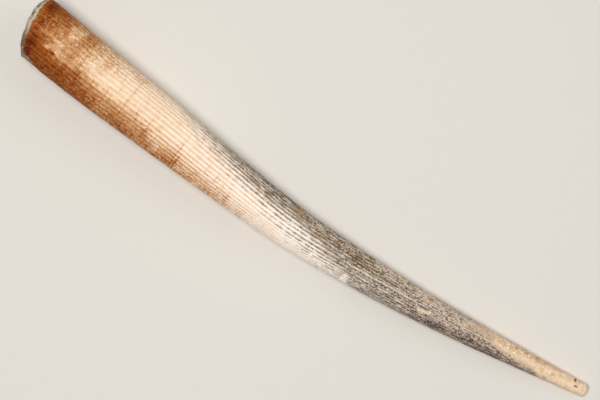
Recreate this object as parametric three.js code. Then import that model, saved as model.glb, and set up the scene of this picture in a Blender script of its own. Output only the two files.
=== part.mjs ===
import * as THREE from "three";

// A tusk shell lying on its side, as one hollow, curved, ribbed and tapering tube. Millimetres, +Z up.
// +X runs from the wide mouth to the narrow tip, and +Y is the hollow side of the curve.

// Driving dimensions
const LENGTH = 145;
// Where the axis lies sideways, and the diameter over the ribs, at stations spaced evenly along the length
const AXIS_OFFSETS = [2.2, 0.8, -0.2, -1.3, -2.0, -1.3, 0.3, 2.6, 5.2];
const DIAMETERS = [13.9, 13.4, 12.4, 10.8, 9.4, 8.0, 6.4, 4.7, 2.9];
// How far the ribs on the top lean over towards the hollow side at the same stations, in degrees
const RIB_LEANS = [1, 0, 2, -1, -6, -2, 3, 3, 3];
const MOUTH_WALL = 1.15;
const TIP_WALL = 0.75;

// The ribs run the whole length and are worn away towards the tip
const RIBS = 37;
const RIB_PITCH = (2 * Math.PI) / RIBS;
const CREST_HALF = 0.3 * RIB_PITCH;
const RIB_SPACING_CHANGE = 0.15 * RIB_PITCH;
const RIB_SPACING_STEP = 0.88;
const GROOVE_DEPTH = 0.26;
const MOUTH_GROOVE_SHARE = 0.6;
const GROOVE_FULL_FROM = 30;
const GROOVE_WEARS_FROM = 92;
const GROOVE_GONE_AT = 130;

// The mouth is cut aslant: its middle, and how far it leans towards the curve's hollow side and the top
const MOUTH_MIDDLE = 3.25;
const MOUTH_LEAN_SIDE = 1.5;
const MOUTH_LEAN_TOP = 1.05;
const MOUTH_LEAN_REACH = 12;
// Its lip is chipped back on the outside, more on top than underneath, so that the edge slopes from the
// inner layer to the ribs
const LIP_SLOPE = 0.95;
const LIP_SLOPE_MORE_ON_TOP = 0.6;
const LIP_SHOULDER = 0.3;
const LIP_SHOULDER_DEPTH = 0.5;
const CHIP_DEPTH = 0.15;
const CHIP_WAVES = [5, 9, 14];

// The tip's end is rounded over
const TIP_ROUND = 0.45;

const OUTER_RINGS = 24;
const INNER_RINGS = 11;
const SEGMENTS_PER_RIB = 3;

const smooth = THREE.MathUtils.smoothstep;
const lerp = THREE.MathUtils.lerp;

// A smooth curve through two measures at the stations, with x as the place along the shell
function stationCurve(second, third) {
  const stations = second.map((value, i) => {
    const along = (LENGTH * i) / (second.length - 1);
    return new THREE.Vector3(along, value, third[i]);
  });
  return new THREE.CatmullRomCurve3(stations, false, "catmullrom", 0.5);
}

const axisAndDiameter = stationCurve(AXIS_OFFSETS, DIAMETERS);
const leanAndDiameter = stationCurve(RIB_LEANS, DIAMETERS);

function wallAt(along) {
  return lerp(MOUTH_WALL, TIP_WALL, along / LENGTH);
}

function grooveDepthAt(along) {
  const growing = lerp(MOUTH_GROOVE_SHARE, 1, smooth(along, 0, GROOVE_FULL_FROM));
  const wearing = 1 - smooth(along, GROOVE_WEARS_FROM, GROOVE_GONE_AT);
  return GROOVE_DEPTH * growing * wearing;
}

// Angles start at the hollow side of the curve and turn over the top. Rib 0 lies along the underside.
function ribAngle(rib) {
  const n = ((rib % RIBS) + RIBS) % RIBS;
  return -Math.PI / 2 + rib * RIB_PITCH - RIB_SPACING_CHANGE * Math.sin(RIB_SPACING_STEP * n);
}

// Each rib has two crest edges, then the bottom of the groove that follows it
function segmentAt(segment) {
  const rib = Math.floor(segment / SEGMENTS_PER_RIB);
  const role = segment % SEGMENTS_PER_RIB;
  if (role === 2) return { angle: (ribAngle(rib) + ribAngle(rib + 1)) / 2, inGroove: true };
  return { angle: ribAngle(rib) + (role === 0 ? -CREST_HALF : CREST_HALF), inGroove: false };
}

// How far along the shell the mouth's edge lies at an angle
function mouthEdge(angle) {
  const chips = CHIP_WAVES.reduce((sum, waves) => sum + Math.sin(waves * angle + waves), 0);
  return (
    MOUTH_MIDDLE -
    MOUTH_LEAN_SIDE * Math.cos(angle) -
    MOUTH_LEAN_TOP * Math.sin(angle) +
    (CHIP_DEPTH * chips) / CHIP_WAVES.length
  );
}

// The wall's section as a closed loop: places along the shell, and depths below the rib crests
function wallSection() {
  const section = [];
  for (let i = 0; i <= OUTER_RINGS; i++) {
    const along = lerp(LIP_SLOPE, LENGTH - TIP_ROUND, i / OUTER_RINGS);
    section.push({ along, depth: 0, ribbed: true });
  }
  const quarter = Math.SQRT1_2;
  section.push({
    along: LENGTH - TIP_ROUND * (1 - quarter),
    depth: TIP_ROUND * (1 - quarter),
    ribbed: false,
  });
  section.push({ along: LENGTH, depth: TIP_ROUND, ribbed: false });
  for (let i = 0; i <= INNER_RINGS; i++) {
    const along = lerp(LENGTH, 0, i / INNER_RINGS);
    section.push({ along, depth: wallAt(along), ribbed: false });
  }
  section.push({ along: LIP_SHOULDER, depth: LIP_SHOULDER_DEPTH, ribbed: false });
  section.push(section[0]);
  return section;
}

// Puts a point of the wall's section, at an angle round the shell, in its place in space
function placeOnShell({ along, depth, ribbed }, { angle: ribbedAngle, inGroove }) {
  const slant = Math.max(0, 1 - along / MOUTH_LEAN_REACH);
  const chippedBack = LIP_SLOPE_MORE_ON_TOP * Math.sin(ribbedAngle) * Math.min(along / LIP_SLOPE, 1);
  const reached = along + slant * (mouthEdge(ribbedAngle) + chippedBack);
  const share = Math.min(reached / LENGTH, 1);
  // The ribs lean only on the upper side, so that the lowest one stays underneath
  const lean = THREE.MathUtils.degToRad(leanAndDiameter.getPoint(share).y);
  const angle = ribbedAngle - (lean * (1 + Math.sin(ribbedAngle))) / 2;
  const { x, y, z: diameter } = axisAndDiameter.getPoint(share);
  const tangent = axisAndDiameter.getTangent(share);
  const heading = Math.atan2(tangent.y, tangent.x);
  const relief = ribbed && inGroove ? grooveDepthAt(reached) : 0;
  const radius = diameter / 2 - depth - relief;
  const sideways = radius * Math.cos(angle);
  // The flat crest of the lowest rib touches the ground all the way along
  const axisHeight = (diameter / 2) * Math.cos(CREST_HALF);
  return new THREE.Vector3(
    x - Math.sin(heading) * sideways,
    y + Math.cos(heading) * sideways,
    axisHeight + radius * Math.sin(angle),
  );
}

function tuskShell() {
  const section = wallSection();
  const profile = section.map(({ along, depth }) => new THREE.Vector2(DIAMETERS[0] - depth, along));
  const segments = RIBS * SEGMENTS_PER_RIB;
  const geometry = new THREE.LatheGeometry(profile, segments);
  // The lathe gives the closed tube of wall, one section after another. Each vertex then moves to its place.
  const position = geometry.getAttribute("position");
  for (let segment = 0; segment <= segments; segment++) {
    const here = segmentAt(segment % segments);
    section.forEach((point, i) => {
      const place = placeOnShell(point, here);
      position.setXYZ(segment * section.length + i, place.x, place.y, place.z);
    });
  }
  // The origin is the middle of the underside
  geometry.computeBoundingBox();
  const middle = geometry.boundingBox.getCenter(new THREE.Vector3());
  geometry.translate(-middle.x, -middle.y, -geometry.boundingBox.min.z);
  geometry.computeVertexNormals();
  return geometry;
}

const shellMaterial = new THREE.MeshStandardMaterial({ color: 0xcfae86, roughness: 0.55, metalness: 0 });

const shell = new THREE.Mesh(tuskShell(), shellMaterial);
shell.name = "tusk_shell";

const group = new THREE.Group();
group.add(shell);

export default group;
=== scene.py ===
from math import cos, pi, radians

import bpy
import numpy as np
from bpy.props import FloatProperty, FloatVectorProperty, IntProperty, PointerProperty
from mathutils import Matrix, Vector, noise


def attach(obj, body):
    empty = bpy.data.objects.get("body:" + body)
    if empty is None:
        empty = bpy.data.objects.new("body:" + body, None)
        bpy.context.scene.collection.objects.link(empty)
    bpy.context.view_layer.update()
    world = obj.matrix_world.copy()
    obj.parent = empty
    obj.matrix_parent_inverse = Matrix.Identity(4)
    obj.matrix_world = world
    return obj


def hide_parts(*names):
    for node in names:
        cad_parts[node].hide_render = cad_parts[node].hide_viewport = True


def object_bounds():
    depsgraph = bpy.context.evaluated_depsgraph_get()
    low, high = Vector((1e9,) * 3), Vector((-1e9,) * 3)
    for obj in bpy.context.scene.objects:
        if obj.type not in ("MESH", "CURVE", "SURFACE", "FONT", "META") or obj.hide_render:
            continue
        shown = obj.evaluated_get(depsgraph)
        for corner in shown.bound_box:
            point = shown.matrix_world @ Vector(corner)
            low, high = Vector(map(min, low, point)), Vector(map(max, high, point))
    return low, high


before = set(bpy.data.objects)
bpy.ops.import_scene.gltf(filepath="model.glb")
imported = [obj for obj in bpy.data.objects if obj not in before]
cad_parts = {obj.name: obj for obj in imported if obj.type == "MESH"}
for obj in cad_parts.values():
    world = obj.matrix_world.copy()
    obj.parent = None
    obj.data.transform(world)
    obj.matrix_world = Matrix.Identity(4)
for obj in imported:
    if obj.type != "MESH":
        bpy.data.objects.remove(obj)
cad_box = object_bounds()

bl_info = {
    "name": "Tusk shell",
    "version": (1, 0, 0),
    "blender": (4, 5, 0),
    "location": "View3D > Sidebar > Tusk shell",
    "description": "Makes a weathered, ribbed tusk shell lying on its side, and a small studio to view it in",
    "category": "Add Mesh",
}

# The shell is worked out in millimetres, straight along X from the mouth to the tip, and then bent
MM = 0.001

# Measures at stations spaced evenly along the shell: where the axis lies sideways, the diameter over the
# ribs, and how far the ribs on the top lean towards the hollow side of the curve, in degrees
AXIS_OFFSETS = (2.2, 0.8, -0.2, -1.3, -2.0, -1.3, 0.3, 2.6, 5.2)
DIAMETERS = (13.9, 13.4, 12.4, 10.8, 9.4, 8.0, 6.4, 4.7, 2.9)
RIB_LEANS = (1, 0, 2, -1, -6, -2, 3, 3, 3)

# Ribs are spaced a little unevenly. A rib runs from -0.5 to 0.5 of the pitch, with its crest in the middle.
CREST_HALF = 0.3
RIB_SPACING_CHANGE = 0.15
RIB_SPACING_STEP = 0.88
RIB_SAMPLES = (-0.3, -0.15, 0.0, 0.15, 0.3, 0.4, 0.5, 0.6)

# Grooves deepen behind the mouth and are worn away before the tip, between two places each. A groove's side
# rises between two distances from its middle, as shares of the pitch. Grooves differ a little in depth.
MOUTH_GROOVE_SHARE = 0.6
GROOVES_DEEPEN = (0, 30)
GROOVES_WEAR = (92, 130)
GROOVE_SIDE = (0.05, 0.21)
GROOVE_DEPTH_CHANGE = 0.2
GROOVE_DEPTH_STEP = 1.7

# Near the mouth every third rib is split by a fine groove of its own. It deepens between two distances from
# the grooves beside the rib, and fades out along the shell between two places.
SPLIT_EVERY = 3
SPLIT_DEPTH = 0.09
SPLIT_SIDE = (0.34, 0.5)
SPLIT_FADE = (14, 30)

# The mouth is cut aslant, and its edge is chipped
MOUTH_MIDDLE = 3.25
MOUTH_LEAN_SIDE = 1.5
MOUTH_LEAN_TOP = 1.05
MOUTH_LEAN_REACH = 12
CHIP_DEPTH = 0.15
CHIP_WAVES = (5, 9, 14)

# The lip's slope from the ribs down to the bore: places along the shell, and shares of the wall's thickness.
# It is chipped back more on top than underneath.
LIP_SLOPE = ((0.95, 0.0), (0.9, 0.06), (0.8, 0.14), (0.66, 0.22), (0.5, 0.32), (0.32, 0.44), (0.16, 0.6),
             (0.05, 0.76), (0.0, 0.9), (0.08, 1.0))
LIP_SLOPE_MORE_ON_TOP = 0.6

# The break itself is rough, and its outer edge steps back in scallops, which reach a little up the shell
BREAK_ROUGHNESS = 0.12
SCALLOP_DEPTH = 0.3
SCALLOP_REACH = 3

# The stained outer layer has flaked off behind the rim: how far towards the outer curve, from 0 on top to 1,
# and how far behind the rim
FLAKED = ((0.45, -0.4), (0.6, 0.35), (0.75, 0.9), (0.85, 1.6), (0.92, 4.6), (1.0, 8.0))
FLAKE_DEPTH = 0.1

# Growth pauses are shallow furrows round the shell: place, half width and depth
GROWTH_PAUSES = ((5.2, 0.5, 0.05), (13.6, 0.7, 0.07), (27.5, 0.5, 0.08), (42.6, 0.5, 0.09), (55.0, 0.6, 0.06),
                 (63.5, 0.9, 0.08), (75.5, 0.6, 0.05), (90.0, 0.8, 0.06), (104.5, 0.7, 0.05))

# A small pit near the mouth: place along, angle from the top, half length, half width and depth
PIT = (10.8, -17, 0.55, 0.22, 0.35)

# The rear is worn rough. The wear sets in between two places along, and further on at the hollow side.
WEAR_SETS_IN = (68, 96)
WEAR_LATER_ON_HOLLOW_SIDE = 6
WEAR_WANDER = 9
WEAR_DEPTH = 0.09

# Shallow ripples round the whole outer face
RIPPLE_DEPTH = 0.025


def size(name, description, default):
    return FloatProperty(name=name, description=description, default=default, min=0, unit="LENGTH")


def colour(name, description, *screen):
    """A colour given as seen on a screen, from 0 to 255, and kept as the linear colour that shaders use."""
    shares = [value / 255 for value in screen]
    linear = [((share + 0.055) / 1.055) ** 2.4 if share > 0.04 else share / 12.92 for share in shares]
    return FloatVectorProperty(name=name, description=description, default=linear, subtype="COLOR",
                               min=0, max=1)


class ShellSizes(bpy.types.PropertyGroup):
    """Sizes of the shell"""

    length: size("Length", "From the middle of the mouth to the tip", 145 * MM)
    mouth_wall: size("Wall at the mouth", "Thickness of the wall at the mouth", 1.15 * MM)
    tip_wall: size("Wall at the tip", "Thickness of the wall at the tip", 0.75 * MM)
    tip_round: size("Tip rounding", "Radius of the worn edge round the tip's end", 0.45 * MM)
    groove_depth: size("Groove depth", "Depth of the grooves between the ribs at the middle", 0.26 * MM)
    ribs: IntProperty(name="Ribs", description="How many ribs run along the shell", default=37, min=8)
    rings: IntProperty(name="Rings", description="Fineness of the outer face, in rings", default=270, min=24)
    bore_rings: IntProperty(name="Bore rings", description="Fineness of the bore, in rings",
                            default=24, min=4)


class ShellColours(bpy.types.PropertyGroup):
    """Colours of the shell"""

    cream: colour("Cream", "Ribs behind the mouth", 252, 236, 214)
    white: colour("White", "Ribs at the middle, bleached almost white", 255, 249, 240)
    peach: colour("Peach", "Warmer streaks on the ribs", 248, 214, 174)
    tan: colour("Tan", "The worn, smooth tip", 252, 225, 192)
    apricot: colour("Apricot", "Grooves of the front half", 250, 189, 123)
    amber: colour("Amber", "Light stain", 230, 187, 143)
    ochre: colour("Ochre", "Middling stain, and flecks at the tip", 196, 141, 92)
    orange: colour("Orange", "Bright edge of the stain at the mouth's rim", 196, 100, 32)
    rust: colour("Rust", "Strong stain round the mouth and along the outer curve", 158, 84, 22)
    umber: colour("Umber", "Darkest stain, at the mouth", 94, 30, 2)
    biscuit: colour("Biscuit", "Specks and bands on the worn tip", 186, 148, 111)
    grime: colour("Grime", "Grey dirt over the rear half", 160, 144, 128)
    earth: colour("Earth", "Browner dirt on the hollow side", 150, 124, 88)
    slate: colour("Slate", "Cooler dirt on the outer side towards the tip", 150, 136, 131)
    # The next two colours show where the dirt is darkest, in pits, grooves and along the edges, partly as
    # painted shade
    soot_and_shade: colour("Soot", "Dark dirt and shade in hollows and grooves", 76, 62, 52)
    loam_and_shade: colour("Loam", "Dark dirt and shade on the hollow side", 82, 62, 40)
    chalk: colour("Chalk", "Pale dirt, where it is rubbed", 220, 206, 188)
    nacre: colour("Nacre", "Fresh break of the lip and the bore's lining", 212, 202, 188)
    bone: colour("Bone", "Inner layer of the wall, seen at the lip", 203, 182, 152)
    # Tea also paints the shadow under the outer layer's broken edge at the lip
    tea: colour("Tea", "Brown spots on the lip and where the outer layer is gone", 126, 97, 72)


class StudioSettings(bpy.types.PropertyGroup):
    """The camera, the floor and the lights"""

    camera_height: size("Camera height", "Height of the camera over the floor", 0.425)
    lens: FloatProperty(name="Lens", description="Focal length", default=117.7, unit="CAMERA")
    roll: FloatProperty(name="Roll", description="How far the shell points down to the right in the view",
                        default=radians(34.87), subtype="ANGLE")
    aim: FloatVectorProperty(name="Aim", description="The point of the floor in the middle of the view",
                             size=2, default=(-2.6 * MM, 2.83 * MM), subtype="TRANSLATION")
    floor_width: size("Floor width", "Width of the square floor", 3.0)
    floor: colour("Floor", "Plain pale floor", 226, 222, 215)
    room: colour("Room", "Pale light from all sides", 225, 226, 228)


def smooth(value, low, high):
    """0 up to low, 1 from high, and a smooth rise between."""
    share = np.clip((value - low) / (high - low), 0, 1)
    return share * share * (3 - 2 * share)


def at_stations(values, share):
    """A smooth curve through values at evenly spaced stations, read at a share of the length."""
    before = 2 * values[0] - values[1]
    after = 2 * values[-1] - values[-2]
    known = np.array((before, *values, after), dtype=float)
    place = np.clip(share, 0, 1) * (len(values) - 1)
    station = np.minimum(place.astype(int), len(values) - 2)
    t = place - station
    a, b, c, d = (known[station + step] for step in range(4))
    return 0.5 * (2 * b + (c - a) * t + (2 * a - 5 * b + 4 * c - d) * t**2 + (3 * b - a - 3 * c + d) * t**3)


def roughen(points, scale):
    """Cloudy noise from -1 to 1 at each of an array of points."""
    flat = points.reshape(-1, 3) * scale
    values = [noise.noise(Vector(point)) for point in flat]
    return np.array(values).reshape(points.shape[:-1])


class ShellForm:
    """The shell's surface: one closed loop of rings, out over the ribs, round the tip, back down the bore and
    over the lip. Each array has a row for each ring and a column for each line along the shell."""

    def __init__(self, sizes):
        for name in ("length", "mouth_wall", "tip_wall", "tip_round", "groove_depth"):
            setattr(self, name, getattr(sizes, name) / MM)
        self.ribs, self.rings, self.bore_rings = sizes.ribs, sizes.rings, sizes.bore_rings
        self.pitch = 2 * pi / self.ribs
        self.lay_out()
        self.weather()
        self.carve()
        self.break_lip()
        self.bend()

    def lay_out(self):
        """Sets out each ring's place along the shell, each line's angle, and the depth below the crests."""
        share = np.linspace(0, 1, self.rings)
        first, last = LIP_SLOPE[0][0], self.length - self.tip_round
        # Rings stand closer together near the mouth
        outer = first + (last - first) * (0.6 * share + 0.4 * share**2)
        turns = np.radians((22.5, 45, 67.5, 90))
        tip = self.length - self.tip_round * (1 - np.sin(turns))
        tip_depth = self.tip_round * (1 - np.cos(turns))
        bore = np.linspace(self.length, LIP_SLOPE[-1][0], self.bore_rings)
        # The two ends of the lip's slope are the last ring of the bore and the first of the outer face
        lip = np.array(LIP_SLOPE[-2:0:-1])
        self.kinds = np.repeat(("outer", "tip", "bore", "lip"), (len(outer), len(tip), len(bore), len(lip)))
        along = np.concatenate((outer, tip, bore, lip[:, 0]))
        depth = np.concatenate((outer * 0, tip_depth, self.wall(bore), lip[:, 1] * self.mouth_wall))

        rib = np.arange(self.ribs)[:, None] + np.array(RIB_SAMPLES)
        self.rib = rib.ravel()
        offset = np.tile(RIB_SAMPLES, self.ribs)
        self.from_groove = np.minimum(abs(offset - 0.5), abs(offset + 0.5))
        angle = self.rib_angle(self.rib)
        self.along = np.repeat(along[:, None], len(angle), axis=1)
        self.depth = np.repeat(depth[:, None], len(angle), axis=1)
        self.angle = np.repeat(angle[None], len(along), axis=0)
        slant = np.maximum(0, 1 - self.along / MOUTH_LEAN_REACH)
        chipped_back = LIP_SLOPE_MORE_ON_TOP * np.sin(self.angle) * np.minimum(self.along / first, 1)
        self.reached = self.along + slant * (self.mouth_edge(self.angle) + chipped_back)

    def wall(self, along):
        return self.mouth_wall + (self.tip_wall - self.mouth_wall) * along / self.length

    def rib_angle(self, rib):
        """The angle of a place across the ribs. Rib 0 lies underneath, and angle 0 is the hollow side."""
        whole = np.arange(-1, self.ribs + 2)
        change = RIB_SPACING_CHANGE * np.sin(RIB_SPACING_STEP * (whole % self.ribs))
        return -pi / 2 + self.pitch * np.interp(rib, whole, whole - change)

    def mouth_edge(self, angle):
        chips = sum(np.sin(waves * angle + waves) for waves in CHIP_WAVES)
        lean = MOUTH_LEAN_SIDE * np.cos(angle) + MOUTH_LEAN_TOP * np.sin(angle)
        return MOUTH_MIDDLE - lean + CHIP_DEPTH * chips / len(CHIP_WAVES)

    def weather(self):
        """Works out noise, wear and flaking at each point, which the relief and the finishes share."""
        self.radius = at_stations(DIAMETERS, self.reached / self.length) / 2
        self.side = np.cos(self.angle)
        self.top = np.sin(self.angle)
        self.groove = (1 - 2 * self.from_groove) * np.ones_like(self.reached)
        self.place = np.stack((self.reached, self.radius * self.side, self.radius * self.top), axis=-1)
        # Each noise is read at a place of its own, so that no two are alike
        self.clouds = roughen(self.place, 0.35)
        self.grain = roughen(self.place + 40, 1.9)
        wear_place = self.reached + WEAR_WANDER * self.clouds - WEAR_LATER_ON_HOLLOW_SIDE * self.side
        self.worn = smooth(wear_place, *WEAR_SETS_IN)
        self.behind_rim = self.along - LIP_SLOPE[0][0]
        flake_reach = np.interp(-self.side, *np.array(FLAKED).T)
        flake_reach += 1.2 * self.grain + 0.8 * roughen(self.place + 20, 0.7)
        self.flaked = smooth(flake_reach - self.behind_rim, -0.3, 0.5)

    def carve(self):
        """Cuts the relief into the outer face."""
        relief = self.grooves() + self.growth_pauses() + self.pit()
        relief += RIPPLE_DEPTH * (1 + roughen(self.place * (1, 0.12, 0.12), 0.8))
        relief += WEAR_DEPTH * self.worn * np.clip(self.grain, 0, 1) + FLAKE_DEPTH * self.flaked
        outer = (self.kinds == "outer")[:, None]
        self.depth += np.where(outer, relief, 0)

    def grooves(self):
        groove = 1 - smooth(self.from_groove, *GROOVE_SIDE)
        deepen = MOUTH_GROOVE_SHARE + (1 - MOUTH_GROOVE_SHARE) * smooth(self.reached, *GROOVES_DEEPEN)
        fade = 1 - smooth(self.reached, *GROOVES_WEAR)
        change = GROOVE_DEPTH_CHANGE * np.sin(GROOVE_DEPTH_STEP * np.round(self.rib - 0.5))
        uneven = (1 + change + 0.25 * self.clouds) * (1 - 0.5 * self.worn * abs(self.grain))
        split = np.where(np.round(self.rib) % SPLIT_EVERY == 1, smooth(self.from_groove, *SPLIT_SIDE), 0)
        fine_grooves = SPLIT_DEPTH * split * (1 - smooth(self.reached, *SPLIT_FADE))
        return self.groove_depth * groove * deepen * fade * uneven + fine_grooves

    def growth_pauses(self):
        wander = self.reached - 0.5 * self.clouds + 0.5 * self.side
        return sum(depth * np.exp(-(((wander - place) / half_width) ** 2))
                   for place, half_width, depth in GROWTH_PAUSES)

    def pit(self):
        place, angle, half_length, half_width, depth = PIT
        lengthwise = (self.reached - place) / half_length
        across = (pi / 2 - radians(angle) - self.angle) * self.radius / half_width
        return depth * np.exp(-(lengthwise**2) - across**2)

    def break_lip(self):
        """Steps the lip's outer edge back in scallops, and roughens the break."""
        rough_break = BREAK_ROUGHNESS * roughen(self.place + 80, 3.5)
        lip = (self.kinds == "lip")[:, None]
        self.depth += np.where(lip, np.maximum(rough_break, -0.05), 0)
        scallops = 0.5 * (1 + roughen(self.place * (0, 1, 1), 0.9))
        near_lip = np.maximum(0, 1 - self.along / SCALLOP_REACH) * (self.kinds != "bore")[:, None]
        self.reached = self.reached + SCALLOP_DEPTH * scallops * near_lip

    def bend(self):
        """Bends the straight shell along its axis and lays it on its lowest rib."""
        share = np.minimum(self.reached / self.length, 1)
        step = 1e-4
        axis = at_stations(AXIS_OFFSETS, share)
        ahead = at_stations(AXIS_OFFSETS, np.minimum(share + step, 1))
        behind = at_stations(AXIS_OFFSETS, np.maximum(share - step, 0))
        heading = np.arctan2(ahead - behind, 2 * step * self.length)
        radius = at_stations(DIAMETERS, share) / 2
        lean = np.radians(at_stations(RIB_LEANS, share))
        angle = self.angle - lean * (1 + np.sin(self.angle)) / 2
        sideways = (radius - self.depth) * np.cos(angle)
        height = radius * cos(CREST_HALF * self.pitch) + (radius - self.depth) * np.sin(angle)
        x = share * self.length - np.sin(heading) * sideways
        y = axis + np.cos(heading) * sideways
        self.points = np.stack((x, y, np.maximum(height, 0)), axis=-1)

    def run(self):
        """The distance from the first ring to each of them, and back to the first, along the top."""
        line = self.points[:, self.points.shape[1] // 2]
        loop = np.concatenate((line, line[:1]))
        steps = np.linalg.norm(np.diff(loop, axis=0), axis=1)
        return np.concatenate(((0,), np.cumsum(steps)))


UNROLLED_MARGIN = 0.004
# Each strip of the unrolled surface: its name, its lowest and highest share of the picture's height, and
# whether it is laid across the picture, as the narrow lip is
UNROLLED = (("front", 0.005, 0.455, False), ("rear", 0.465, 0.795, False), ("bore", 0.805, 0.925, False),
            ("lip", 0.935, 0.995, True))


def unroll(form, mesh):
    """Lays the surface out flat in strips, so that a picture can hold it with little waste."""
    rings, lines = form.along.shape
    run = form.run()
    halves = np.where(form.along[:, 0] < form.length / 2, "front", "rear")
    strips = np.where(np.isin(form.kinds, ("bore", "lip")), form.kinds, halves)
    corners = np.zeros((rings, lines, 4, 2))
    around = np.stack((np.arange(lines), np.arange(lines) + 1), axis=-1) / lines
    for name, low, high, across in UNROLLED:
        members = np.flatnonzero(strips == name)
        start, end = run[members[0]], run[members[-1] + 1]
        for ring in members:
            near, far = (run[ring] - start) / (end - start), (run[ring + 1] - start) / (end - start)
            lengthwise = np.broadcast_to((near, far, far, near), (lines, 4))
            crosswise = around[:, (0, 0, 1, 1)]
            u, v = (crosswise, lengthwise) if across else (lengthwise, crosswise)
            corners[ring, :, :, 0] = UNROLLED_MARGIN + (1 - 2 * UNROLLED_MARGIN) * u
            corners[ring, :, :, 1] = low + (high - low) * v
    layer = mesh.uv_layers.new(name="OFBake")
    layer.uv.foreach_set("vector", corners.ravel())


def shell_mesh(form):
    """Joins the rings into one closed mesh of four-sided faces, with what the finishes need to know."""
    rings, lines = form.along.shape
    index = np.arange(rings * lines).reshape(rings, lines)
    next_ring = np.roll(index, -1, axis=0)
    next_line = np.roll(index, -1, axis=1)
    diagonal = np.roll(next_ring, -1, axis=1)
    faces = np.stack((index, next_ring, diagonal, next_line), axis=-1).reshape(-1, 4)

    # The shell lies on the floor, and reaches as far along +X and +Y as the plain solid
    low, high = form.points.min(axis=(0, 1)), form.points.max(axis=(0, 1))
    goal = np.array(cad_box[1]) / MM
    shift = (goal[0] - high[0], goal[1] - high[1], -low[2])
    points = (form.points + shift) * MM

    mesh = bpy.data.meshes.new("tusk_shell_surface")
    mesh.from_pydata(points.reshape(-1, 3), (), faces)
    mesh.shade_smooth()
    for name in ("reached", "side", "top", "groove", "depth", "worn", "behind_rim", "flaked"):
        layer = mesh.attributes.new(name, "FLOAT", "POINT")
        layer.data.foreach_set("value", getattr(form, name).ravel())
    layer = mesh.attributes.new("place", "FLOAT_VECTOR", "POINT")
    layer.data.foreach_set("vector", form.place.ravel())

    slots = {"outer": 0, "tip": 0, "bore": 1, "lip": 2}
    numbers = np.array([slots[kind] for kind in form.kinds])
    # The face behind the last bore ring is the first of the lip
    numbers[np.flatnonzero(form.kinds == "bore")[-1]] = slots["lip"]
    mesh.polygons.foreach_set("material_index", np.repeat(numbers, lines))
    unroll(form, mesh)
    return mesh


class Graph:
    """A tree of shader nodes, written one step at a time. A step gives back its output socket."""

    def __init__(self, tree):
        self.tree = tree

    def add(self, kind, inputs=None, **settings):
        node = self.tree.nodes.new(kind)
        for name, value in settings.items():
            setattr(node, name, value)
        for key, value in (inputs or {}).items():
            self.feed(node.inputs[key], value)
        return node

    def feed(self, socket, value):
        if isinstance(value, bpy.types.NodeSocket):
            self.tree.links.new(value, socket)
        elif socket.type == "RGBA":
            socket.default_value = (*value[:3], 1)
        else:
            socket.default_value = value

    def read(self, name):
        """A value that each point of the surface carries."""
        return self.add("ShaderNodeAttribute", attribute_name=name).outputs["Fac"]

    def math(self, operation, *values):
        inputs = dict(enumerate(values))
        return self.add("ShaderNodeMath", inputs, operation=operation).outputs[0]

    def times(self, first, second):
        return self.math("MULTIPLY", first, second)

    def sway(self, value, *swings, middle=0.5):
        """Adds noises to a value. Each swing is a noise, which counts from the middle, and its reach."""
        for cloud, reach in swings:
            value = self.math("MULTIPLY_ADD", self.math("SUBTRACT", cloud, middle), reach, value)
        return value

    def clamp(self, value):
        return self.add("ShaderNodeClamp", {0: value}).outputs[0]

    def between(self, amount, first, second):
        """A value that goes from first to second as amount goes from 0 to 1."""
        return self.add("ShaderNodeMix", {0: amount, 2: first, 3: second}, data_type="FLOAT").outputs[0]

    def stretch(self, vector, factors):
        return self.add("ShaderNodeVectorMath", {0: vector, 1: factors}, operation="MULTIPLY").outputs[0]

    def cloud(self, vector, scale, detail, roughness):
        inputs = {"Vector": vector, "Scale": scale, "Detail": detail, "Roughness": roughness}
        return self.add("ShaderNodeTexNoise", inputs).outputs[0]

    def rise(self, value, low, high, start=0.0, end=1.0):
        """Goes smoothly from start to end while value goes from low to high."""
        inputs = {0: value, 1: low, 2: high, 3: start, 4: end}
        return self.add("ShaderNodeMapRange", inputs, interpolation_type="SMOOTHSTEP").outputs[0]

    def blend(self, amount, under, over):
        return self.add("ShaderNodeMix", {0: amount, 6: under, 7: over}, data_type="RGBA").outputs[2]

    def ramp(self, value, stops):
        """A colour that changes with value, through stops of a place and a colour."""
        node = self.add("ShaderNodeValToRGB", {0: value})
        while len(node.color_ramp.elements) < len(stops):
            node.color_ramp.elements.new(1.0)
        for element, (place, shade) in zip(node.color_ramp.elements, stops):
            element.position = place
            element.color = (*shade[:3], 1)
        return node.outputs[0]

    def level(self, along, points):
        """A value from 0 to 1 that changes along the shell, through points of a place and a value."""
        node = self.add("ShaderNodeFloatCurve", {1: along})
        curve = node.mapping.curves[0]
        for place, value in points[1:-1]:
            curve.points.new(place, value)
        curve.points[0].location = points[0]
        curve.points[-1].location = points[-1]
        for point in curve.points:
            point.handle_type = "AUTO_CLAMPED"
        node.mapping.update()
        return node.outputs[0]

    def edge(self, along, points, reach):
        """A line drawn over the unrolled shell: for a share of the length, how far to the side it lies."""
        raised = [(place, (side + reach) / (2 * reach)) for place, side in points]
        return self.math("MULTIPLY_ADD", self.level(along, raised), 2 * reach, -reach)

    def use(self, group, inputs):
        return self.add("ShaderNodeGroup", inputs, node_tree=group)


def floats(*names):
    return dict.fromkeys(names, "Float")


def new_group(name, inputs, outputs):
    """A node group with named sockets. Gives the group, its graph, and its input and output nodes."""
    group = bpy.data.node_groups.new(name, "ShaderNodeTree")
    for socket, kind in inputs.items():
        group.interface.new_socket(socket, in_out="INPUT", socket_type=f"NodeSocket{kind}")
    for socket, kind in outputs.items():
        group.interface.new_socket(socket, in_out="OUTPUT", socket_type=f"NodeSocket{kind}")
    graph = Graph(group)
    return group, graph, graph.add("NodeGroupInput").outputs, graph.add("NodeGroupOutput").inputs


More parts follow.
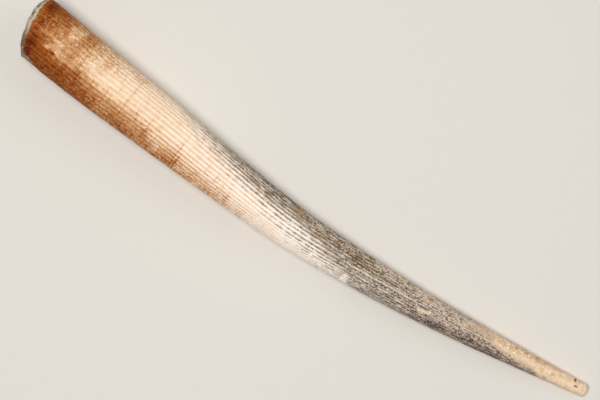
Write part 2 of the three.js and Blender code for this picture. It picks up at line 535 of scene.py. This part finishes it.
# Grain of several kinds: name, scale, the share of that scale along the ribs, detail and roughness
GRAINS = (
    ("Clouds", 0.22, 1, 3, 0.55),
    ("Mottle", 0.8, 1, 4, 0.6),
    ("Specks", 2.5, 1, 4, 0.7),
    ("Dashes", 1.9, 0.45, 2, 0.6),
    ("Streaks", 2.2, 0.2, 3, 0.6),
    ("Fibres", 1.3, 0.05, 3, 0.6),
)


def grain_group():
    outputs = floats(*(name for name, *_ in GRAINS))
    group, graph, given, result = new_group("shell_grain", {"Place": "Vector"}, outputs)
    for name, scale, lengthwise, detail, roughness in GRAINS:
        place = graph.stretch(given["Place"], (lengthwise, 1, 1))
        graph.feed(result[name], graph.cloud(place, scale, detail, roughness))
    return group


def growth_group():
    """Fine growth lines round the shell, which crowd together here and there."""
    group, graph, given, result = new_group("growth_lines", {"Place": "Vector"}, floats("Lines", "Height"))
    fine = graph.cloud(graph.stretch(given["Place"], (1, 0.12, 0.12)), 2.4, 3, 0.7)
    broad = graph.cloud(graph.stretch(given["Place"], (1, 0.1, 0.1)), 0.7, 2, 0.6)
    lines = graph.times(graph.rise(fine, 0.5, 0.64), graph.rise(broad, 0.4, 0.6))
    graph.feed(result["Lines"], lines)
    graph.feed(result["Height"], graph.math("MULTIPLY_ADD", broad, 1.5, fine))
    return group


PATCH_INPUTS = ("Along", "Side", "Noise", "Centre along", "Centre side", "Half length", "Half width",
                "Raggedness", "Amount")


def patch_group():
    """A patch with a ragged edge, at a place along the shell and to its side."""
    group, graph, given, result = new_group("patch", floats(*PATCH_INPUTS), floats("Amount"))
    lengthwise = graph.math("SUBTRACT", given["Along"], given["Centre along"])
    lengthwise = graph.math("DIVIDE", lengthwise, given["Half length"])
    crosswise = graph.math("SUBTRACT", given["Side"], given["Centre side"])
    crosswise = graph.math("DIVIDE", crosswise, given["Half width"])
    squares = graph.math("MULTIPLY_ADD", lengthwise, lengthwise, graph.times(crosswise, crosswise))
    distance = graph.sway(graph.math("SQRT", squares), (given["Noise"], given["Raggedness"]))
    graph.feed(result["Amount"], graph.times(graph.rise(distance, 1.35, 0.5), given["Amount"]))
    return group


def grime_group():
    """Dry grey dirt over a colour: dark in its hollows, partly as painted shade, pale where it is rubbed, and
    dull all over.
    """
    inputs = dict.fromkeys(("Color", "Dirt", "Dark dirt and shade", "Pale dirt"), "Color")
    inputs.update(floats("Roughness", "Cover", "Crust and shade"))
    group, graph, given, result = new_group("grime", inputs, {"Color": "Color", "Roughness": "Float"})
    dirt = graph.blend(graph.rise(given["Crust and shade"], 0.5, 0.4), given["Dirt"], given["Dark dirt and shade"])
    dirt = graph.blend(graph.rise(given["Crust and shade"], 0.5, 0.6, 0.0, 0.9), dirt, given["Pale dirt"])
    graph.feed(result["Color"], graph.blend(given["Cover"], given["Color"], dirt))
    dull = graph.times(given["Cover"], 0.85)
    graph.feed(result["Roughness"], graph.math("MAXIMUM", given["Roughness"], dull))
    return group


# How strongly the grooves are tinted: share of the length, and amount
GROOVE_TINT = ((0, 0.65), (0.12, 0.52), (0.22, 0.66), (0.3, 0.9), (0.36, 1.0), (0.45, 0.95), (0.5, 0.6),
               (0.58, 0.3), (0.8, 0.1), (1, 0))

# How strong the stain is along the outer curve, the top and the hollow side: share of the length, and amount
STAIN_OUTER = ((0, 0.88), (0.03, 0.86), (0.07, 0.82), (0.11, 0.78), (0.16, 0.66), (0.22, 0.56), (0.28, 0.48),
               (0.33, 0.41), (0.38, 0.36), (0.43, 0.24), (0.48, 0.12), (0.53, 0.03), (0.6, 0), (1, 0))
STAIN_TOP = ((0, 0.75), (0.02, 0.75), (0.045, 0.67), (0.075, 0.5), (0.11, 0.35), (0.14, 0.17), (0.17, 0.1),
             (0.21, 0.12), (0.26, 0.09), (0.34, 0.06), (0.45, 0), (1, 0))
STAIN_HOLLOW = ((0, 0.84), (0.02, 0.82), (0.05, 0.76), (0.075, 0.57), (0.11, 0.44), (0.16, 0.28),
                (0.22, 0.15), (0.3, 0.09), (0.36, 0.03), (0.4, 0), (1, 0))

# Where the outer curve's stain gives way to the top's: share of the length, and how far to the side
STAIN_LIMIT = ((0, -0.2), (0.1, -0.22), (0.2, -0.25), (0.3, -0.32), (0.4, -0.36), (0.5, -0.45), (1, -0.5))

# Patches: name, place along, place to the side, half length, half width, raggedness and amount. The side runs
# from -1, the outer curve, to 1, the hollow side. An amount below 0 takes stain or dirt away.
STAIN_PATCHES = (
    ("dark streak", 3.8, 0.8, 1.4, 0.12, 4.0, 0.15),
    ("pale patch", 11.0, -0.04, 2.4, 0.22, 3.0, -0.22),
    ("pale spots", 6.6, 0.04, 1.6, 0.14, 4.0, -0.13),
    ("pale marks", 8.6, 0.38, 1.4, 0.1, 5.0, -0.05),
    ("pale streak below the top", 12.4, -0.24, 3.4, 0.12, 3.0, -0.18),
    ("pale streak on the outer side", 13.0, -0.46, 3.4, 0.13, 3.0, -0.07),
    ("pale patch on the hollow side", 12.0, 0.72, 1.5, 0.22, 3.0, -0.16),
    ("pale streak at a sixth", 25.0, -0.22, 2.6, 0.16, 3.0, -0.08),
    ("amber band", 14.3, 0.3, 0.8, 1.0, 4.0, 0.12),
    ("amber band on the hollow side", 15.6, 0.78, 1.2, 0.3, 4.0, 0.1),
    ("another further on", 21.2, 0.7, 1.2, 0.5, 4.0, 0.12),
    ("growth line at a fifth", 29.2, 0.2, 0.3, 0.9, 2.0, 0.12),
    ("growth line at a quarter", 35.8, 0.1, 0.2, 0.7, 2.0, 0.12),
    ("growth line before the middle", 44.0, 0.0, 0.2, 0.9, 2.0, 0.12),
    ("stain behind a growth line", 36.2, -0.72, 1.1, 0.25, 4.0, 0.09),
    ("pale gap in the stain", 38.6, -0.6, 1.6, 0.25, 4.0, -0.1),
    ("stain before a growth line", 42.8, -0.78, 1.8, 0.22, 4.0, 0.08),
    ("growth line in the stain", 44.8, -0.6, 0.3, 0.4, 2.5, 0.12),
    ("blush past the middle", 57.8, -0.55, 0.7, 0.4, 3.0, 0.13),
    # Painted shade: more stain along the outermost edge of the outer curve, where the light falls off
    ("painted shade along the outer edge", 42.0, -1.0, 17.0, 0.3, 1.0, 0.07),
)

# Patches whose place along is counted from the rim: stain, and how brightly the stain's edge glows
RIM_PATCHES = (
    ("dark spots behind the rim", 1.9, -0.55, 1.2, 0.5, 9.0, 0.16),
    ("dark spots on the hollow side", 1.8, 0.72, 0.8, 0.25, 9.0, 0.06),
)
RIM_GLOW = (
    ("orange rim", 0.4, 0.3, 0.6, 0.8, 4.0, 0.7),
)

# Patches where the dirt is thinner, browner, cooler, and darker, partly as painted shade, or, below 0, paler
DIRT_PATCHES = (
    ("bare patch", 105.4, -0.22, 1.4, 0.1, 4.0, -0.66),
    ("bare patch beside it", 107.2, -0.13, 0.4, 0.17, 3.0, -0.56),
    ("thin dirt on top", 71.5, 0.1, 3.8, 0.16, 2.4, -0.27),
    ("rubbed rib", 98.0, 0.12, 8.0, 0.035, 1.5, -0.5),
    ("bare patch on the outer side", 79.3, -0.65, 0.5, 0.4, 2.0, -0.8),
    ("another further on", 87.9, -0.7, 0.9, 0.24, 2.4, -0.6),
    ("thin dirt near its end", 121.0, 0.45, 7.0, 0.5, 2.4, -0.25),
)
EARTH_PATCHES = (
    ("hollow side", 74.0, 0.95, 34.0, 0.8, 0.6, 0.9),
    ("tinge past the middle", 89.2, 0.42, 4.0, 0.2, 1.4, 0.4),
)
SLATE_PATCHES = (
    ("outer side towards the tip", 116.0, -1.0, 26.0, 1.1, 1.6, 1.0),
)
# Along the outer edge towards the tip and along the hollow side these are partly dirt and partly painted
# shade
DARK_PATCHES = (
    ("outer side towards the tip", 114.0, -1.0, 15.0, 0.6, 1.0, 0.085),
    ("darkest part of it", 121.0, -0.9, 5.0, 0.4, 1.0, 0.04),
    ("rubbed band before it", 112.0, -0.25, 4.2, 0.55, 1.0, -0.035),
    ("hollow side at the middle", 61.0, 0.95, 13.0, 0.5, 0.5, 0.08),
    ("hollow side past the middle", 83.0, 0.9, 10.0, 0.65, 0.5, 0.035),
    ("streak past the middle", 96.0, 0.42, 4.5, 0.28, 1.0, 0.03),
    ("rubbed edge past the middle", 96.0, 0.9, 4.5, 0.3, 1.0, -0.05),
    ("brown dirt further on", 89.2, 0.42, 4.5, 0.2, 1.4, 0.02),
    ("rubbed hollow side", 110.5, 0.9, 10.0, 0.6, 1.2, -0.055),
)

FLECK_RAGGEDNESS = 2.5
# Flecks on the upper side: colour, place along, place to the side, half length, half width and amount
FLECKS = (
    ("umber", 10.8, -0.29, 0.7, 0.03, 0.8),
    ("tea", 89.6, 0.45, 2.6, 0.16, 0.4),
    ("tea", 77.6, 0.4, 1.2, 0.14, 0.4),
    ("ochre", 71.8, 0.8, 1.2, 0.14, 0.3),
    ("loam_and_shade", 141.8, 0.72, 0.32, 0.24, 0.8),
    ("rust", 141.8, 0.72, 0.32, 0.24, 0.52),
    ("ochre", 142.4, -0.05, 0.5, 0.16, 0.9),
    ("rust", 142.4, -0.05, 0.42, 0.12, 0.75),
    ("rust", 127.4, 0.74, 0.3, 0.1, 0.55),
    ("rust", 129.9, 0.74, 0.3, 0.12, 0.62),
    ("ochre", 129.2, 0.98, 0.5, 0.1, 0.6),
    ("ochre", 132.8, 0.66, 1.1, 0.3, 0.3),
    ("biscuit", 132.5, 0.76, 0.6, 0.26, 0.5),
    ("biscuit", 136.0, 0.8, 2.2, 0.26, 0.35),
    ("rust", 134.4, 0.72, 0.36, 0.16, 0.4),
    ("ochre", 137.0, 0.04, 0.5, 0.22, 0.5),
    ("ochre", 134.3, -0.02, 0.6, 0.24, 0.4),
    ("biscuit", 135.6, -0.72, 0.6, 0.2, 0.6),
    ("soot_and_shade", 112.9, -0.57, 0.4, 0.18, 0.3),
    ("soot_and_shade", 124.3, -0.4, 0.55, 0.1, 0.55),
    ("grime", 131.9, -0.62, 0.7, 0.2, 0.8),
)

# Limits of the dirt, as places along (share of the length) and to the side: it fills the grooves above the
# first line, covers the ribs above the second, and ends above the third
DIRT_IN_GROOVES = ((0, 1.35), (0.24, 1.2), (0.28, 0.86), (0.36, 0.4), (0.41, 0.2), (0.46, -0.05),
                   (0.5, -0.34), (0.54, -0.75), (0.58, -1.1), (0.65, -1.3), (1, -1.35))
DIRT_ON_RIBS = ((0, 1.35), (0.27, 1.15), (0.34, 0.87), (0.4, 0.66), (0.44, 0.52), (0.52, 0.3), (0.56, -0.08),
                (0.6, -0.62), (0.64, -1.25), (1, -1.35))
DIRT_ENDS = ((0, 1.35), (0.785, 1.3), (0.82, 0.9), (0.848, 0.2), (0.864, -0.22), (0.9, -0.45), (0.92, -0.75),
             (0.94, -1.2), (1, -1.35))


class Finish(Graph):
    """The graph of one material."""

    def __init__(self, name):
        self.material = bpy.data.materials.new(name)
        self.material.use_nodes = True
        self.material.node_tree.nodes.clear()
        super().__init__(self.material.node_tree)

    def end(self, paint, roughness, height, distance, gloss=0.5):
        """Puts colour, roughness and relief into the surface, and gives the finished material."""
        bump = self.add("ShaderNodeBump", {"Height": height, "Distance": distance})
        inputs = {"Base Color": paint, "Roughness": roughness, "Normal": bump.outputs[0],
                  "Specular IOR Level": gloss}
        surface = self.add("ShaderNodeBsdfPrincipled", inputs)
        self.add("ShaderNodeOutputMaterial", {"Surface": surface.outputs[0]})
        return self.material


class Effects:
    """Effects that the shell's finishes share, each made once."""

    def __init__(self):
        self.grain = grain_group()
        self.growth = growth_group()
        self.patch = patch_group()
        self.grime = grime_group()


class ShellFinish(Finish):
    """A finish that knows where each point of the shell lies, and the grain there."""

    def __init__(self, effects, colours, length):
        super().__init__(self.name)
        self.effects, self.colours = effects, colours
        self.along = self.read("reached")
        self.share = self.math("DIVIDE", self.along, length)
        self.side = self.read("side")
        place = {"Place": self.add("ShaderNodeAttribute", attribute_name="place").outputs["Vector"]}
        # The kinds of grain come in the order of GRAINS
        grain = self.use(effects.grain, place).outputs
        self.clouds, self.mottle, self.specks, self.dashes, self.streaks, self.fibres = grain
        self.growth_lines, self.growth_height = self.use(effects.growth, place).outputs

    def patch_mask(self, cloud, patch, run=None):
        """How strongly a patch lies on each point. Its place is along the run, or else along the shell."""
        along = self.along if run is None else run
        inputs = dict(zip(PATCH_INPUTS, (along, self.side, cloud, *patch)))
        return self.use(self.effects.patch, inputs).outputs["Amount"]

    def patched(self, amount, patches, run=None):
        """Adds patches to an amount of stain or dirt."""
        for name, *patch in patches:
            mask = self.patch_mask(self.mottle, patch, run)
            mask.node.label = name
            amount = self.math("ADD", amount, mask)
        return amount

    def dusted(self, paint, roughness, cover, crust_and_shade, dirt=None, dark_dirt_and_shade=None):
        """Puts dirt over a colour, darker in its hollows, partly as painted shade. Gives the dirty colour and
        its roughness.
        """
        colours = self.colours
        inputs = {
            "Color": paint, "Roughness": roughness, "Cover": cover, "Crust and shade": crust_and_shade,
            "Dirt": dirt or colours.grime, "Dark dirt and shade": dark_dirt_and_shade or colours.soot_and_shade, "Pale dirt": colours.chalk,
        }
        dirty = self.use(self.effects.grime, inputs).outputs
        return dirty["Color"], dirty["Roughness"]


class OuterFace(ShellFinish):
    """Ribs and grooves, stained at the mouth, bleached at the middle, and dirty towards the tip."""

    name = "weathered_shell"

    def bare_ribs(self, in_groove):
        """Ribs and the grooves between them, in colours that change along the shell."""
        colours = self.colours
        share = self.sway(self.share, (self.clouds, 0.1))
        ribs = self.ramp(share, ((0.22, colours.cream), (0.4, colours.white), (0.6, colours.white),
                                 (0.78, colours.tan)))
        ribs = self.blend(self.rise(self.fibres, 0.48, 0.7, 0.0, 0.4), ribs, colours.peach)
        ribs = self.blend(self.rise(self.mottle, 0.52, 0.7, 0.0, 0.35), ribs, colours.peach)
        grooves = self.ramp(share, ((0.44, colours.apricot), (0.52, colours.peach)))
        broken = self.rise(self.streaks, 0.34, 0.58, 0.35)
        tint = self.times(self.level(self.share, GROOVE_TINT), broken)
        paint = self.blend(self.times(in_groove, tint), ribs, grooves)
        lines = self.times(self.growth_lines, self.rise(self.along, 50.0, 75.0, 0.3, 0.1))
        return self.blend(lines, paint, colours.amber)

    def speckled(self, paint):
        """Fine brown specks and pale spots over the worn tip, with more specks on its hollow side."""
        near_tip = self.rise(self.along, 100.0, 120.0)
        hollow_side = self.rise(self.side, 0.0, 0.6, 0.5)
        specks = self.times(self.rise(self.specks, 0.45, 0.58, 0.0, 0.85), hollow_side)
        specks = self.times(specks, self.rise(self.along, 130.0, 138.0, 1.0, 0.6))
        specks = self.math("MAXIMUM", specks, self.rise(self.mottle, 0.48, 0.66, 0.0, 0.55))
        paint = self.blend(self.times(specks, near_tip), paint, self.colours.biscuit)
        pale = self.times(self.rise(self.specks, 0.5, 0.4, 0.0, 0.4), near_tip)
        return self.blend(pale, paint, self.colours.cream)

    def stain_amount(self, in_groove):
        """How strong the stain is: lines along the shell, single patches, one of them painted shade along the
        outer edge, and grain that makes it uneven.
        """
        lines = (STAIN_OUTER, STAIN_TOP, STAIN_HOLLOW)
        outer, top, hollow = (self.level(self.share, line) for line in lines)
        amount = self.between(self.rise(self.side, 0.3, 0.95), top, hollow)
        ragged = self.sway(self.side, (self.mottle, 1.0), (self.clouds, 1.0), (self.specks, 1.2))
        above = self.math("SUBTRACT", ragged, self.edge(self.share, STAIN_LIMIT, 1.0))
        amount = self.between(self.rise(above, 0.4, -0.5), amount, outer)
        swing = self.times(self.rise(amount, 0.0, 0.3, 0.3), self.rise(self.along, 6.0, 30.0, 0.8))
        amount = self.patched(amount, STAIN_PATCHES)
        amount = self.patched(amount, RIM_PATCHES, self.read("behind_rim"))
        cloudy = self.rise(self.along, 12.0, 26.0, 0.0, 0.6)
        uneven = self.sway(0.0, (self.clouds, cloudy), (self.mottle, 0.4), (self.specks, 1.3),
                           (self.dashes, 0.5))
        in_grooves = self.rise(self.along, 20.0, 50.0, 0.1, 0.3)
        uneven = self.sway(uneven, (in_groove, in_grooves), middle=0.35)
        in_lines = self.rise(self.along, 6.0, 20.0, 0.0, 0.2)
        uneven = self.sway(uneven, (self.growth_lines, in_lines), middle=0.1)
        return self.math("MULTIPLY_ADD", swing, uneven, amount)

    def stained(self, in_groove, paint):
        """Orange-brown stain, strongest behind the mouth and along the outer curve, with a bright edge."""
        colours = self.colours
        amount = self.stain_amount(in_groove)
        shade = self.ramp(amount, ((0.0, colours.peach), (0.25, colours.amber), (0.5, colours.ochre),
                                   (0.72, colours.rust), (1.0, colours.umber)))
        paint = self.blend(self.rise(amount, -0.05, 0.4), paint, shade)
        glow = self.patched(0.0, RIM_GLOW, self.read("behind_rim"))
        glow = self.times(glow, self.rise(self.specks, 0.42, 0.56, 0.05, 0.9))
        return self.blend(glow, paint, colours.orange)

    def flaked(self, paint):
        """The brown and beige layer that shows where the stained one has flaked off behind the rim."""
        ragged = self.sway(self.read("flaked"), (self.specks, 2.0), (self.mottle, 1.0))
        bare = self.blend(self.rise(self.dashes, 0.4, 0.62), self.colours.tea, self.colours.bone)
        return self.blend(self.rise(ragged, 0.35, 0.8, 0.0, 0.72), paint, bare)

    def dirt_cover(self, groove):
        """How thickly dirt lies: it fills the grooves, then covers the ribs, and ends before the tip."""
        level = self.sway(self.side, (self.mottle, 1.0), (self.fibres, 1.0), (self.specks, 1.8))
        above = []
        for line, softness in ((DIRT_IN_GROOVES, 0.25), (DIRT_ON_RIBS, 0.4), (DIRT_ENDS, 0.4)):
            limit = self.edge(self.share, line, 1.4)
            above.append(self.rise(self.math("SUBTRACT", level, limit), -softness, softness))
        in_grooves, on_ribs, past_end = above
        hollow = self.sway(groove, (self.dashes, 2.4))
        in_grooves = self.times(in_grooves, self.rise(hollow, 0.42, 0.85, 0.0, 0.9))
        on_ribs = self.times(on_ribs, self.rise(self.streaks, 0.36, 0.52, 0.45, 0.97))
        cover = self.math("MAXIMUM", in_grooves, on_ribs)
        cover = self.times(cover, self.math("SUBTRACT", 1.0, past_end))
        return self.clamp(self.patched(cover, DIRT_PATCHES))

    def dirt_tone_and_shade(self, groove):
        """The dirt's own relief, which the bump shares: hollows, below 0.5, are darker, and rubbed places,
        above it, are paler. The darker hollows and grooves are partly painted shade.
        """
        # The grain is mostly the specks that also raise the bump, so the darker dirt in its pits is partly
        # painted shade
        grain = self.between(0.27, self.specks, self.dashes)
        coarser = self.rise(self.along, 105.0, 122.0, 1.1, 1.5)
        crust_and_shade = self.sway(0.545, (grain, coarser), (self.clouds, 0.08))
        # Darker in the grooves: partly dirt, partly painted shade
        crust_and_shade = self.math("MULTIPLY_ADD", groove, -0.1, crust_and_shade)
        # The dark patches along the edges: partly dirt, partly painted shade
        return self.math("SUBTRACT", crust_and_shade, self.patched(0.0, DARK_PATCHES))

    def dirtied(self, groove, paint):
        """Grey dirt over the rear, browner on the hollow side and cooler on the outer side. Its darkest
        parts, in pits, grooves and along the edges, are partly painted shade.
        """
        colours = self.colours
        earthy = self.patched(0.0, EARTH_PATCHES)
        dark_dirt_and_shade = self.blend(earthy, colours.soot_and_shade, colours.loam_and_shade)
        dirt = self.blend(earthy, colours.grime, colours.earth)
        dirt = self.blend(self.patched(0.0, SLATE_PATCHES), dirt, colours.slate)
        roughness = self.rise(self.mottle, 0.3, 0.7, 0.4, 0.58)
        cover = self.dirt_cover(groove)
        crust_and_shade = self.dirt_tone_and_shade(groove)
        return self.dusted(paint, roughness, cover, crust_and_shade, dirt, dark_dirt_and_shade)

    def flecked(self, paint):
        """Small flecks on the upper side."""
        facing_up = self.rise(self.read("top"), 0.0, 0.1)
        for shade, *place, amount in FLECKS:
            mask = self.patch_mask(self.specks, (*place, FLECK_RAGGEDNESS, amount))
            paint = self.blend(self.times(mask, facing_up), paint, getattr(self.colours, shade))
        return paint

    def make(self):
        groove = self.read("groove")
        in_groove = self.rise(groove, 0.55, 0.9)
        paint = self.bare_ribs(in_groove)
        paint = self.speckled(paint)
        paint = self.stained(in_groove, paint)
        paint = self.flaked(paint)
        paint, roughness = self.dirtied(groove, paint)
        paint = self.flecked(paint)
        relief = self.math("MULTIPLY_ADD", self.growth_height, 0.5, self.times(self.streaks, 0.8))
        rough = self.times(self.rise(self.read("worn"), 0.0, 1.0, 0.35, 1.3),
                           self.rise(self.along, 130.0, 138.0, 1.0, 0.5))
        relief = self.math("MULTIPLY_ADD", self.specks, rough, relief)
        return self.end(paint, roughness, relief, 0.1 * MM, 0.08)


class Lip(ShellFinish):
    """The break round the mouth: a pale layer under the stain, then beige with brown spots. It is stained at
    the hollow side and towards the outer curve. A dark line just under the outer face is painted shadow
    of the outer layer's broken edge."""

    name = "broken_lip"

    def make(self):
        colours = self.colours
        below = self.read("depth")
        depth = self.sway(below, (self.mottle, 0.4))
        paint = self.blend(self.rise(depth, 0.28, 0.42), colours.nacre, colours.bone)
        spots = self.rise(self.dashes, 0.42, 0.5, 0.0, 0.9)
        spots = self.times(spots, self.rise(depth, 0.3, 0.42))
        spots = self.times(spots, self.rise(self.side, 0.05, 0.3, 0.2))
        paint = self.blend(spots, paint, colours.tea)
        ragged_side = self.sway(self.side, (self.mottle, 0.4))
        paint = self.blend(self.rise(ragged_side, 0.68, 0.84, 0.0, 0.9), paint, colours.ochre)
        paint = self.blend(self.rise(ragged_side, 0.0, -0.6), paint, colours.tea)
        # Painted shadow: a dark line just under the outer face, where the outer layer's broken edge shades
        # the break
        paint = self.blend(self.rise(below, 0.2, 0.08, 0.0, 0.85), paint, colours.tea)
        cover = self.rise(self.clouds, 0.45, 0.7, 0.0, 0.5)
        paint, roughness = self.dusted(paint, 0.5, cover, self.specks)
        return self.end(paint, roughness, self.specks, 0.12 * MM, 0.3)


class Bore(ShellFinish):
    """The smooth lining, stained near the mouth and dusty further in."""

    name = "smooth_bore"

    def make(self):
        colours = self.colours
        lining = self.blend(self.rise(self.clouds, 0.35, 0.65), colours.nacre, colours.cream)
        wander = self.math("MULTIPLY_ADD", self.mottle, 12.0, self.along)
        paint = self.blend(self.rise(wander, 16.0, 8.0, 0.0, 0.6), lining, colours.amber)
        paint = self.blend(self.times(self.growth_lines, 0.3), paint, colours.tan)
        cover = self.rise(wander, 20.0, 90.0, 0.0, 0.7)
        paint, roughness = self.dusted(paint, 0.28, cover, self.specks)
        return self.end(paint, roughness, self.growth_height, 0.03 * MM)


class TUSK_OT_shell(bpy.types.Operator):
    """Makes the shell's fine surface and its finishes in place of the plain solid"""

    bl_idname = "tusk.shell"
    bl_label = "Make the shell"

    def execute(self, context):
        sizes, colours = context.scene.tusk_sizes, context.scene.tusk_colours
        shell = bpy.data.objects.new("weathered_tusk_shell", shell_mesh(ShellForm(sizes)))
        effects = Effects()
        for finish in (OuterFace, Bore, Lip):
            shell.data.materials.append(finish(effects, colours, sizes.length / MM).make())
        context.scene.collection.objects.link(shell)
        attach(shell, "root")
        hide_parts("tusk_shell")
        return {"FINISHED"}


# Lamps: name, place, width, power and colour
LAMPS = (
    ("key_light", (-0.08, -0.04, 0.62), 0.3, 3.15, (1.0, 0.98, 0.95)),
    ("fill_light", (0.35, 0.4, 0.45), 0.5, 0.75, (0.96, 0.98, 1.0)),
)
ROOM_STRENGTH = 0.2


def soft_light(scene, name, place, width, watts, shade):
    """A wide lamp that shines on the middle of the shell."""
    lamp = bpy.data.lights.new(name, "AREA")
    lamp.shape = "DISK"
    lamp.size = width
    lamp.energy = watts
    lamp.color = shade
    holder = bpy.data.objects.new(name, lamp)
    holder.location = place
    holder.rotation_euler = (-Vector(place)).to_track_quat("-Z", "Y").to_euler()
    scene.collection.objects.link(holder)


def floor_finish(shade):
    """Plain pale board with a very faint tooth."""
    finish = Finish("pale_floor")
    coordinates = finish.add("ShaderNodeTexCoord").outputs["Object"]
    tooth = finish.cloud(coordinates, 900.0, 2, 0.6)
    return finish.end(shade, 0.75, tooth, 0.02 * MM)


class TUSK_OT_studio(bpy.types.Operator):
    """Makes the pale floor, the soft lights and the camera that looks straight down"""

    bl_idname = "tusk.studio"
    bl_label = "Make the studio"

    def execute(self, context):
        scene, settings = context.scene, context.scene.tusk_studio
        self.lay_floor(scene, settings)
        for lamp in LAMPS:
            soft_light(scene, *lamp)
        self.paint_room(scene, settings)
        self.set_camera(scene, settings)
        scene.view_settings.view_transform = "Standard"
        return {"FINISHED"}

    def paint_room(self, scene, settings):
        room = bpy.data.worlds.new("soft_room")
        room.use_nodes = True
        background = room.node_tree.nodes["Background"].inputs
        background["Color"].default_value = (*settings.room, 1)
        background["Strength"].default_value = ROOM_STRENGTH
        scene.world = room

    def lay_floor(self, scene, settings):
        half = settings.floor_width / 2
        corners = ((-half, -half, 0), (half, -half, 0), (half, half, 0), (-half, half, 0))
        mesh = bpy.data.meshes.new("floor")
        mesh.from_pydata(corners, (), ((0, 1, 2, 3),))
        mesh.materials.append(floor_finish(settings.floor))
        floor = bpy.data.objects.new("floor", mesh)
        scene.collection.objects.link(floor)

    def set_camera(self, scene, settings):
        camera = bpy.data.objects.new("camera", bpy.data.cameras.new("camera"))
        camera.data.lens = settings.lens
        camera.data.clip_start = 0.01
        turn = Matrix.Rotation(settings.roll, 4, "Z")
        camera.matrix_world = Matrix.Translation((*settings.aim, settings.camera_height)) @ turn
        scene.collection.objects.link(camera)
        scene.camera = camera


class TUSK_PT_panel(bpy.types.Panel):
    """Lists what the add-on makes and the values that it uses"""

    bl_label = "Tusk shell"
    bl_space_type = "VIEW_3D"
    bl_region_type = "UI"
    bl_category = "Tusk shell"

    def draw(self, context):
        for operator in (TUSK_OT_shell, TUSK_OT_studio):
            self.layout.operator(operator.bl_idname)
        for name in ("tusk_sizes", "tusk_colours", "tusk_studio"):
            settings = getattr(context.scene, name)
            box = self.layout.box()
            for prop in settings.__annotations__:
                box.prop(settings, prop)


CLASSES = (ShellSizes, ShellColours, StudioSettings, TUSK_OT_shell, TUSK_OT_studio, TUSK_PT_panel)


def register():
    for cls in CLASSES:
        bpy.utils.register_class(cls)
    bpy.types.Scene.tusk_sizes = PointerProperty(type=ShellSizes)
    bpy.types.Scene.tusk_colours = PointerProperty(type=ShellColours)
    bpy.types.Scene.tusk_studio = PointerProperty(type=StudioSettings)


def unregister():
    del bpy.types.Scene.tusk_studio
    del bpy.types.Scene.tusk_colours
    del bpy.types.Scene.tusk_sizes
    for cls in reversed(CLASSES):
        bpy.utils.unregister_class(cls)


def main():
    register()
    bpy.ops.tusk.shell()
    bpy.ops.tusk.studio()


if __name__ == "__main__":
    main()
